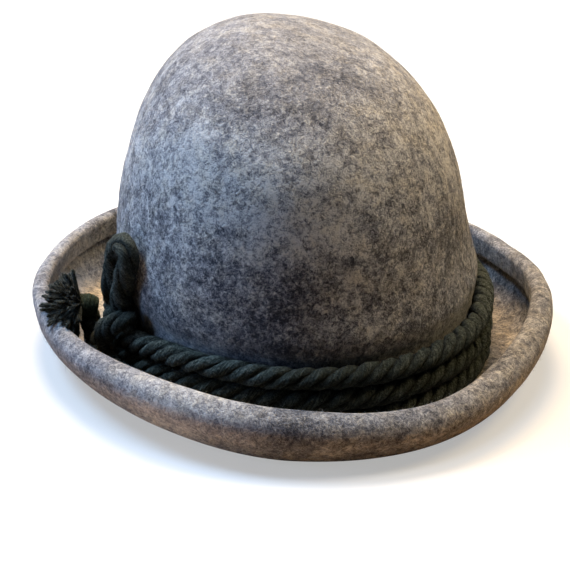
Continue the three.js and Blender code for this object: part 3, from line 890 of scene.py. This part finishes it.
def knot_piece():
    verts, faces, lays = [], [], []
    radius = KNOT_DIAMETER / 2 * 0.93
    wraps, ring_points = 5, 44
    for w in range(wraps):
        share = (w + 0.5) / wraps * 2 - 1
        ring = (radius - 1.2) * math.sqrt(max(1 - (share * 0.8) ** 2, 0.05))
        lean = rng.normal(0, 0.12)
        points = []
        for i in range(ring_points):
            a = 2 * math.pi * i / ring_points
            along = share * (radius - 1.0) + lean * ring * math.sin(a + w)
            points.append(
                knot_middle
                + brush_aim * along
                + level * ring * math.cos(a)
                + brush_up * ring * 1.12 * math.sin(a)
            )
        closed_tube(np.array(points), 1.5 + rng.uniform(-0.1, 0.1), faces, verts, lays, w * 50)
    obj = make_object("end_knot_wraps", verts, faces, knot_green, ("end_knot",))
    set_vector(obj, "lay", lays)
    # The core under the wraps closes the knot.
    core = []
    rings, sides = 12, 18
    for i in range(1, rings):
        t = math.pi * i / rings
        for k in range(sides):
            a = 2 * math.pi * k / sides
            r = (radius - 1.3) * math.sin(t)
            core.append(
                knot_middle
                - brush_aim * (radius - 0.7) * math.cos(t)
                + (level * math.cos(a) + brush_up * math.sin(a)) * r
            )
    core_faces = tube_faces(rings - 1, sides)
    obj = make_object("end_knot_core", core, core_faces, knot_green, ("end_knot",))
    set_vector(obj, "lay", np.array(core) % 9)


knot_piece()


def tassel_piece():
    """The frayed end: blunt ends of yarn that fan out from the knot, with loose fibres."""
    verts, faces, lays = [], [], []
    roots, aims, lengths = [], [], []
    sides = YARN_SIDES
    for b in range(TASSEL_YARNS):
        turn = b * GOLDEN_ANGLE
        fan = math.radians(90) * ((b + 0.5) / TASSEL_YARNS) ** 0.45
        rise = math.sin(fan) * math.sin(turn)
        aim = unit(
            level * math.sin(fan) * math.cos(turn)
            + brush_aim * (math.cos(fan) + 0.3 * max(rise, 0))
            + brush_up * (rise * (0.62 if rise < 0 else 0.8) - 0.24)
            + rng.normal(0, 0.05, 3)
        )
        reach = TASSEL_LENGTH * rng.uniform(0.85, 1.1) * (1 - 0.3 * max(rise, 0))
        spread_way = level * math.cos(turn) + brush_up * math.sin(turn)
        root = brush_root - brush_aim * 2.0 + spread_way * fan * 1.6
        sway = rng.normal(0, 1.3, 3)
        shares = np.linspace(0, 1, YARN_STEPS + 1)
        line = np.array([root + aim * reach * s + sway * (s * s - 0.6 * s) for s in shares])
        thick = rng.uniform(0.62, 0.9)
        path = [line[0]]
        for stride in np.diff(line, axis=0):
            path.append(clear_of_felt(path[-1] + stride, thick * 1.35))
        line = np.array(path)
        tangents, across, over = frames(line, unit(np.cross(aim, rng.normal(size=3))))
        start = len(verts)
        for i, point in enumerate(line):
            s = i / YARN_STEPS
            radius = thick * (0.8 + 0.35 * s) * (1 if i < YARN_STEPS else 0.55)
            for k in range(sides):
                a = 2 * math.pi * k / sides
                ply = 1 + 0.16 * math.cos(3 * a + s * reach * 0.9)
                verts.append(point + (across[i] * math.cos(a) + over[i] * math.sin(a)) * radius * ply)
                lays.append((s * reach + b * 31, radius * math.cos(a + s * 8), radius * math.sin(a + s * 8)))
        faces.extend(tube_faces(len(line), sides, start))
        for _ in range(FIBRES_PER_YARN):
            s = rng.uniform(0.55, 1.0)
            around = rng.uniform(0, 6.28)
            i = int(s * YARN_STEPS)
            aside = across[i] * math.cos(around) + over[i] * math.sin(around)
            roots.append(line[i] + aside * thick * 0.7)
            aims.append(unit(tangents[i] + aside * rng.uniform(0.05, 0.5)))
            lengths.append((1.02 - s) * reach * 0.6 + rng.uniform(0.8, 2.6))
    obj = make_object("tassel_yarns", verts, faces, green, ("cord_tassel",))
    set_vector(obj, "lay", lays)
    # Painted shade: the tassel's yarns are darker all over.
    set_float(obj, "painted_shade", np.full(len(verts), 0.55))
    roots, aims, lengths = np.array(roots), np.array(aims), np.array(lengths)
    obj = hairs(
        "tassel_fibres", roots, aims, lengths, rng.uniform(0.07, 0.15, len(roots)),
        green_hair, curl=0.18,
    )
    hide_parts("cord_tassel")


tassel_piece()


# Loose fibres
def surface_points(quads_grid, count, weight):
    """Random places and normals on a closed grid of points. weight is a function of the places."""
    a = quads_grid[:, :-1]
    b = np.roll(quads_grid, -1, 0)[:, :-1]
    c = quads_grid[:, 1:]
    normals = np.cross(c - a, b - a)
    areas = np.linalg.norm(normals, axis=2)
    centres = (a + b + c) / 3
    share = (areas * weight(centres, unit(normals + 1e-12))).ravel()
    chosen = rng.choice(len(share), size=count, p=share / share.sum())
    u, v = rng.uniform(size=(2, count, 1))
    flat_a, flat_b, flat_c = (x.reshape(-1, 3)[chosen] for x in (a, b, c))
    places = flat_a + (flat_b - flat_a) * u + (flat_c - flat_a) * v
    return places, unit(normals.reshape(-1, 3)[chosen])


def felt_weight(places, normals):
    inside_head = (
        (places[..., 0] + 6) ** 2 / 84.5**2 + places[..., 1] ** 2 / 97.5**2 < 1
    ) & (places[..., 2] < 40)
    under = (normals[..., 2] < -0.3) & (places[..., 2] < 12)
    rim = np.clip((np.hypot(places[..., 0] / 85, places[..., 1] / 98) - 1.25) * 8, 0, 1)
    return np.where(inside_head | under, 0.02, 1.0) * (1 + 1.6 * rim)


moved_grid = felt_points[:-2].reshape(felt_grid.shape)
places, normals = surface_points(moved_grid, FELT_FIBRES, felt_weight)
# No fibre starts so low that it could reach the floor.
clear = places[:, 2] > 2.5
places, normals = places[clear], normals[clear]
ways = unit(normals * rng.uniform(0.25, 1.0, (len(places), 1)) + rng.normal(0, 0.8, places.shape))
ways = np.where((np.sum(ways * normals, 1) < 0.1)[:, None], ways + normals * 0.6, ways)
hairs(
    "felt_fibres", places - normals * 0.05, ways, rng.uniform(0.7, 2.3, len(places)),
    rng.uniform(0.035, 0.07, len(places)), felt_hair, curl=0.5,
)

sheets = [v.reshape(-1, STRAND_SIDES, 3) for v in cord_verts + hitch_verts]


def wool_fuzz(name, parts, longest, thickest):
    """Loose fibres on strands. parts holds each strand's points and its number of fibres."""
    spots, spot_normals = [], []
    for sheet, count in parts:
        p, q = surface_points(np.swapaxes(sheet, 0, 1), count, lambda places, normals: 1.0)
        spots.append(p)
        spot_normals.append(q)
    spots, spot_normals = np.vstack(spots), np.vstack(spot_normals)
    ways = unit(spot_normals * 0.8 + rng.normal(0, 0.6, spots.shape))
    hairs(
        name, spots, ways, rng.uniform(0.7, longest, len(spots)),
        rng.uniform(0.03, thickest, len(spots)), green_hair, curl=0.5,
    )


loop_rings = 95
loop_parts = [(sheet[-loop_rings:], LOOP_FIBRES) for sheet in sheets[:3]]
hitch_parts = [(sheet, HITCH_FIBRES) for sheet in sheets[3:]]
wool_fuzz("cord_fibres", [(sheet, CORD_FIBRES) for sheet in sheets[:3]], 2.6, 0.075)
wool_fuzz("loop_fibres", loop_parts + hitch_parts, 3.0, 0.06)

# The stage, the lights and the camera
def stage_floor():
    mesh = bpy.data.meshes.new("stage_floor")
    size = 8.0
    corners = [(-size, -size, 0), (size, -size, 0), (size, size, 0), (-size, size, 0)]
    mesh.from_pydata(corners, [], [(0, 1, 2, 3)])
    obj = bpy.data.objects.new("stage_floor", mesh)
    bpy.context.scene.collection.objects.link(obj)
    n = Nodes("pale_floor", roughness=0.9, specular=0.1)
    ray = n.add("LightPath").outputs["Is Diffuse Ray"]
    place = n.add("TexCoord").outputs["Object"]
    away = n.add("VectorMath", {0: place}, operation="LENGTH").outputs["Value"]
    # The floor lights the hat from below only near it, and looks almost white to the camera.
    bounced = n.mix(n.spread(away, 0.15, 0.24), rgb(0.62, 0.41, 0.24), rgb(0.02, 0.018, 0.016))
    far = n.spread(away, 0.3, 1.3)
    n.colour(n.mix(ray, n.mix(far, rgb(0.5, 0.497, 0.49), rgb(0.01, 0.01, 0.01)), bounced))
    seen = n.add("LightPath").outputs["Is Camera Ray"]
    glow = n.mix(far, rgb(0.42, 0.42, 0.415), rgb(0.9, 0.9, 0.89))
    n.link(n.mix(seen, rgb(0, 0, 0), glow), n.shader.inputs["Emission Color"])
    n.shader.inputs["Emission Strength"].default_value = 1.0
    mesh.materials.append(n.material)


def area_light(name, place, size, power, colour):
    """A soft round light, aimed at the middle of the hat."""
    aim = (0, 0, 0.08)
    data = bpy.data.lights.new(name, "AREA")
    data.shape = "DISK"
    data.size = size
    data.energy = power
    data.color = colour
    obj = bpy.data.objects.new(name, data)
    obj.location = place
    obj.rotation_mode = "QUATERNION"
    obj.rotation_quaternion = (Vector(aim) - Vector(place)).to_track_quat("-Z", "Y")
    bpy.context.scene.collection.objects.link(obj)


stage_floor()
area_light("top_light", (0.0, 0.0, 1.7), 0.7, 10.6, (0.67, 0.78, 1.0))
area_light("key_light", (-0.2, 0.75, 1.55), 0.8, 36, (1.0, 0.69, 0.344))
area_light("left_light", (-1.0, 0.3, 1.35), 0.7, 30, (0.431, 0.669, 1.0))
area_light("low_left_light", (-1.5, -0.3, 0.35), 0.6, 8, (0.354, 0.571, 1.0))
area_light("right_light", (1.0, 0.3, 1.35), 0.7, 14, (1.0, 0.78, 0.44))
bpy.context.scene.view_settings.view_transform = "Standard"

world = bpy.data.worlds.new("studio")
bpy.context.scene.world = world
world.use_nodes = True
tree = world.node_tree
tree.nodes.clear()
world_out = tree.nodes.new("ShaderNodeOutputWorld")
back_drop = tree.nodes.new("ShaderNodeBackground")
fill = tree.nodes.new("ShaderNodeBackground")
ray = tree.nodes.new("ShaderNodeLightPath")
choose = tree.nodes.new("ShaderNodeMixShader")
back_drop.inputs[0].default_value = rgb(0.9, 0.9, 0.89)
back_drop.inputs[1].default_value = 1.0
fill.inputs[0].default_value = rgb(0.93, 0.96, 1.0)
fill.inputs[1].default_value = 0.02
tree.links.new(ray.outputs["Is Camera Ray"], choose.inputs[0])
tree.links.new(fill.outputs[0], choose.inputs[1])
tree.links.new(back_drop.outputs[0], choose.inputs[2])
tree.links.new(choose.outputs[0], world_out.inputs[0])


def photo_camera():
    """The camera at the photograph's angle. Its aim is turned a little instead of shifted."""
    elevation, azimuth, roll = (math.radians(v) for v in (22.0, 1.3174, 2.1018))
    aside, downward, distance = 0.00832, 0.03123, 0.9225
    right = Vector((math.cos(azimuth), math.sin(azimuth), 0))
    back = Vector(
        (
            math.sin(azimuth) * math.cos(elevation),
            -math.cos(azimuth) * math.cos(elevation),
            math.sin(elevation),
        )
    )
    up = back.cross(right)
    rolled_right = right * math.cos(roll) + up * math.sin(roll)
    rolled_up = -right * math.sin(roll) + up * math.cos(roll)
    aim = (-back - rolled_right * aside - rolled_up * downward).normalized()
    x_way = aim.cross(rolled_up).normalized()
    y_way = x_way.cross(aim)
    data = bpy.data.cameras.new("photo_camera")
    data.sensor_width = 36
    data.lens = 120.28
    data.clip_start, data.clip_end = 0.05, 50
    obj = bpy.data.objects.new("photo_camera", data)
    rotation = Matrix((x_way, y_way, -aim)).transposed()
    target = Vector((0.0, 0.0, 0.0615)) + Vector(SHIFT * MM)
    obj.matrix_world = Matrix.Translation(target + back * distance) @ rotation.to_4x4()
    bpy.context.scene.collection.objects.link(obj)
    bpy.context.scene.camera = obj


photo_camera()
